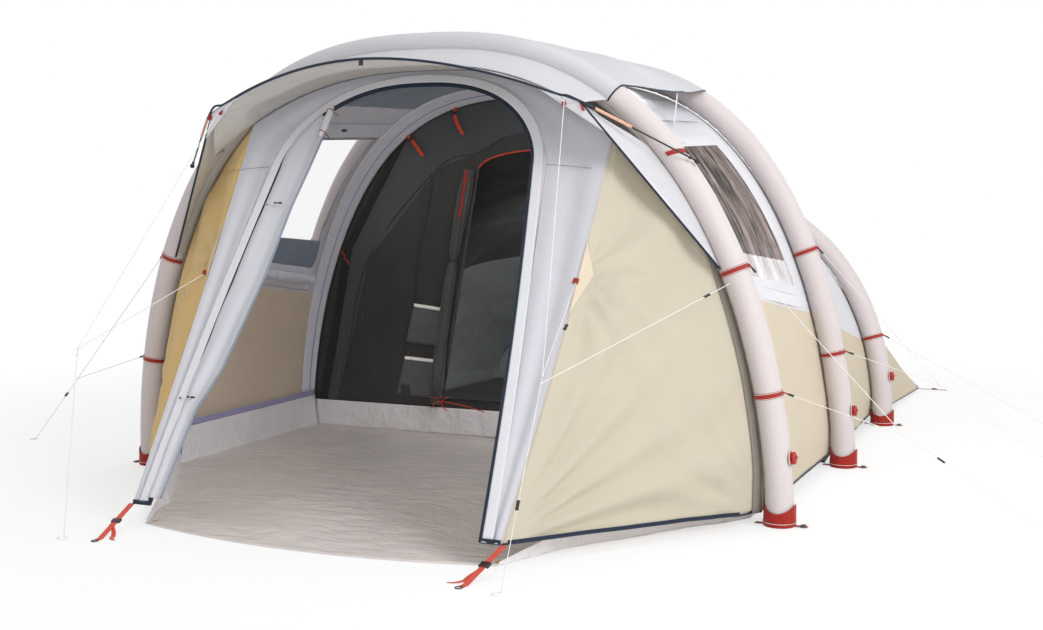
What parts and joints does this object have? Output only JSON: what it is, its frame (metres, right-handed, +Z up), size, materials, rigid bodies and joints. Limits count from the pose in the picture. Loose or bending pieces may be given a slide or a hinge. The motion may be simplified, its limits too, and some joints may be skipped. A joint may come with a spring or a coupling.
{
  "type": "inflatable family tent",
  "caption": "Tunnel-shaped inflatable tent with three air beams, side windows, roof vents, a front canopy over an open doorway and a hung dark bedroom.",
  "frame": {"origin": "on the ground, on the tent's centre line, below the feet of the middle air beam; the underside of the living-room floor", "axes": "+Z up; -Y the way the doorway faces; +X the side with the valves"},
  "size_m": [5.0097, 5.3542, 1.9381],
  "materials": {
    "air_beam": "smooth, slightly shiny woven sleeve over an inflated tube",
    "red_webbing": "coarse woven webbing",
    "red_plastic": "satin moulded",
    "fly_cloth": "coated tent cloth, beige below and pale grey above",
    "roof_cloth": "coated tent cloth, off-white",
    "grey_cloth": "coated tent cloth, pale grey",
    "clear_film": "thin clear film, looks dark against the inside",
    "curtain_cloth": "rolled tent cloth",
    "mesh_cloth": "fine insect mesh",
    "floor_cloth": "coated groundsheet, dull",
    "dark_cloth": "dark breathable cloth",
    "rod": "smooth glass-fibre rod",
    "line": "braided cord",
    "black_plastic": "satin moulded"
  },
  "bodies": {
    "tent": {"beam_front": "air_beam", "beam_middle": "air_beam", "beam_rear": "air_beam", "bedroom_door_roll": "dark_cloth", "bedroom_fly": "fly_cloth", "bedroom_front": "dark_cloth", "bedroom_shell": "dark_cloth", "boot_front_left": "red_webbing", "boot_front_right": "red_webbing", "boot_middle_left": "red_webbing", "boot_middle_right": "red_webbing", "boot_rear_left": "red_webbing", "boot_rear_right": "red_webbing", "canopy": "roof_cloth", "canopy_rod": "rod", "corner_strap_front_left": "red_webbing", "corner_strap_front_right": "red_webbing", "curtain_roll_left": "curtain_cloth", "curtain_roll_right": "curtain_cloth", "door_leaf": "grey_cloth", "end_wall": "fly_cloth", "front_surround": "grey_cloth", "front_wedge_left": "fly_cloth", "front_wedge_right": "fly_cloth", "groundsheet": "floor_cloth", "guy_canopy_left": "line", "guy_canopy_right": "line", "guy_front_right": "line", "guy_middle_lower_right": "line", "guy_middle_upper_right": "line", "guy_rear_right": "line", "guy_seam_left": "line", "guy_seam_right": "line", "guy_side_lower_left": "line", "guy_side_lower_right": "line", "guy_side_upper_left": "line", "guy_side_upper_right": "line", "living_fly": "fly_cloth", "rod_strap_left": "red_webbing", "rod_strap_right": "red_webbing", "roof": "roof_cloth", "vent_mesh_left": "mesh_cloth", "vent_mesh_right": "mesh_cloth", "window_left": "clear_film", "window_right": "clear_film"},
    "valve_cap_front_body": {"valve_cap_front": "red_plastic"},
    "valve_cap_middle_body": {"valve_cap_middle": "red_plastic"},
    "valve_cap_rear_body": {"valve_cap_rear": "red_plastic"},
    "door_toggle_upper_body": {"door_toggle_upper": "black_plastic"},
    "door_toggle_lower_body": {"door_toggle_lower": "black_plastic"},
    "vent_prop_left_body": {"vent_prop_left": "roof_cloth"},
    "vent_prop_right_body": {"vent_prop_right": "roof_cloth"},
    "strap_buckle_body": {"strap_buckle": "black_plastic"},
    "runner_front_right_body": {"runner_front_right": "black_plastic"},
    "runner_seam_right_body": {"runner_seam_right": "black_plastic"},
    "runner_canopy_right_body": {"runner_canopy_right": "black_plastic"},
    "runner_side_right_body": {"runner_side_right": "black_plastic"},
    "runner_side_left_body": {"runner_side_left": "black_plastic"}
  },
  "joints": [
    {"name": "valve_cap_front_turn", "type": "hinge", "parent": "tent", "child": "valve_cap_front_body", "pos_m": [1.54885, -1.27102, 0.2677], "axis": [0.9957, 0, 0.0927], "range_deg": [0, 90]},
    {"name": "valve_cap_middle_turn", "type": "hinge", "parent": "tent", "child": "valve_cap_middle_body", "pos_m": [1.55022, -0.01214, 0.26831], "axis": [0.9947, 0, 0.1026], "range_deg": [0, 90]},
    {"name": "valve_cap_rear_turn", "type": "hinge", "parent": "tent", "child": "valve_cap_rear_body", "pos_m": [1.51886, 1.27496, 0.27057], "axis": [0.9902, 0, 0.1394], "range_deg": [0, 90]},
    {"name": "door_toggle_upper_turn", "type": "hinge", "parent": "tent", "child": "door_toggle_upper_body", "pos_m": [-0.52041, -1.64284, 1.23818], "axis": [0, -0.8677, 0.497], "range_deg": [-90, 90]},
    {"name": "door_toggle_lower_turn", "type": "hinge", "parent": "tent", "child": "door_toggle_lower_body", "pos_m": [-0.65016, -2.07645, 0.48118], "axis": [0, -0.8677, 0.497], "range_deg": [-90, 90]},
    {"name": "vent_prop_left_swing", "type": "hinge", "parent": "tent", "child": "vent_prop_left_body", "pos_m": [-0.88028, -0.70096, 1.56505], "axis": [-0.6828, -0.0223, 0.7303], "range_deg": [0, 80]},
    {"name": "vent_prop_right_swing", "type": "hinge", "parent": "tent", "child": "vent_prop_right_body", "pos_m": [0.88028, -0.70096, 1.56505], "axis": [0.6828, -0.0223, 0.7303], "range_deg": [-80, 0]},
    {"name": "strap_buckle_slide", "type": "slide", "parent": "tent", "child": "strap_buckle_body", "axis": [-0.1492, -0.9287, -0.3395], "range_m": [-0.05, 0.04]},
    {"name": "runner_front_right_slide", "type": "slide", "parent": "tent", "child": "runner_front_right_body", "axis": [-0.32, -0.9138, -0.2499], "range_m": [-0.08, 0.3]},
    {"name": "runner_seam_right_slide", "type": "slide", "parent": "tent", "child": "runner_seam_right_body", "axis": [0.1265, -0.9117, -0.3909], "range_m": [-0.2, 0.24]},
    {"name": "runner_canopy_right_slide", "type": "slide", "parent": "tent", "child": "runner_canopy_right_body", "axis": [-0.0959, -0.2511, -0.9632], "range_m": [-0.3, 0.18]},
    {"name": "runner_side_right_slide", "type": "slide", "parent": "tent", "child": "runner_side_right_body", "axis": [0.7517, 0.3561, -0.5551], "range_m": [-0.12, 0.38]},
    {"name": "runner_side_left_slide", "type": "slide", "parent": "tent", "child": "runner_side_left_body", "axis": [-0.7517, 0.3561, -0.5551], "range_m": [-0.12, 0.38]}
  ]
}
